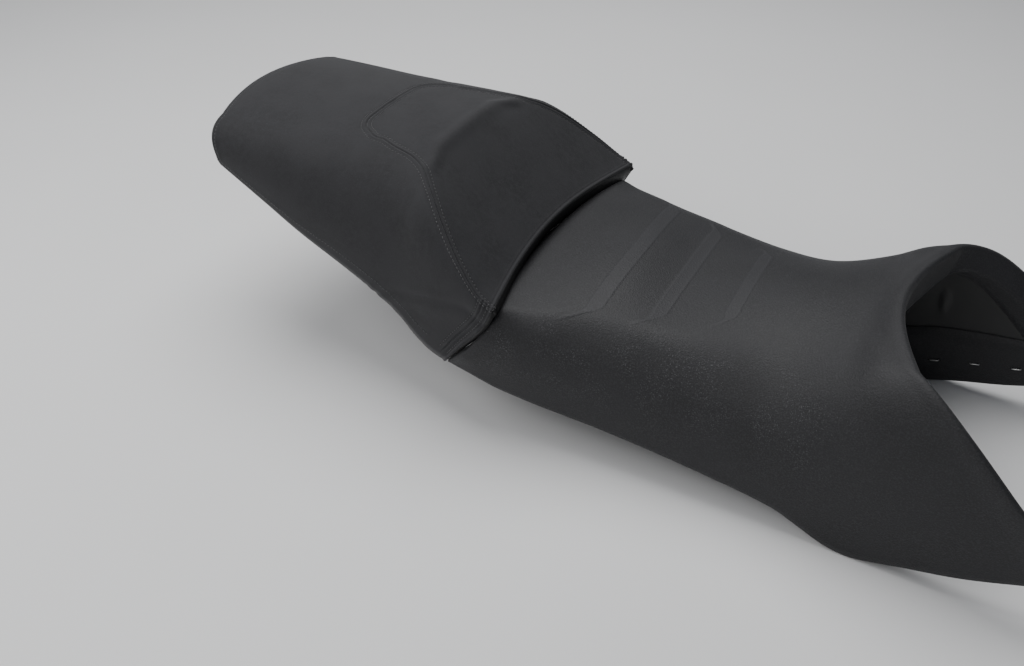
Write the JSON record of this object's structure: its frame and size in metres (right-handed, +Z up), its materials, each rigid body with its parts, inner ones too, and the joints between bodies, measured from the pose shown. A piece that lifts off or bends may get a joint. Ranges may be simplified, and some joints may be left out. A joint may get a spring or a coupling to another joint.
{
  "type": "motorcycle seat",
  "caption": "Split motorcycle saddle: a rider seat with wings beside the tank and an embossed top, and a stitched pillion seat that lifts at its rear, each on a moulded pan.",
  "frame": {"origin": "centre of the frame's front cross bar, in the middle between the rider seat's front hooks", "axes": "+X to the front of the motorcycle, +Y to its left along the cross bar, +Z up"},
  "size_m": [0.9604, 0.3478, 0.2633],
  "materials": {
    "pan_plastic": "fine-textured black polypropylene",
    "foam": "moulded open-cell polyurethane foam",
    "rider_vinyl": "matt pebbled anti-slip vinyl",
    "pillion_suede": "matt suede-like vinyl",
    "strip_vinyl": "smooth matt vinyl",
    "zinc_steel": "zinc-plated steel",
    "brass": "turned brass",
    "rubber": "matt moulded rubber"
  },
  "bodies": {
    "rider_seat": {"rider_base_pan": "pan_plastic", "rider_foam": "foam", "rider_cover": "rider_vinyl", "rider_cover_staples": "zinc_steel", "front_hook_bracket": "zinc_steel", "front_bracket_inserts": "brass", "front_bracket_screws": "zinc_steel", "rider_mid_buffers": "rubber", "rider_rear_buffers": "rubber", "tank_rest_pads": "rubber", "rear_tongue_plate": "zinc_steel", "rear_tongue_inserts": "brass", "rear_tongue_screws": "zinc_steel"},
    "pillion_seat": {"pillion_base_pan": "pan_plastic", "pillion_foam": "foam", "pillion_centre_cover": "pillion_suede", "pillion_side_cover": "pillion_suede", "pillion_front_strip": "strip_vinyl", "pillion_cover_staples": "zinc_steel", "left_front_tongue": "zinc_steel", "right_front_tongue": "zinc_steel", "front_tongue_inserts": "brass", "front_tongue_screws": "zinc_steel", "striker_plate": "zinc_steel", "latch_striker": "zinc_steel", "striker_nuts": "zinc_steel", "striker_inserts": "brass", "striker_screws": "zinc_steel", "pillion_front_buffers": "rubber", "pillion_rear_buffers": "rubber"}
  },
  "joints": [
    {"name": "pillion_lift", "type": "hinge", "parent": "rider_seat", "child": "pillion_seat", "pos_m": [-0.285, 0, 0.072], "axis": [0, 1, 0], "range_deg": [0, 25]}
  ]
}
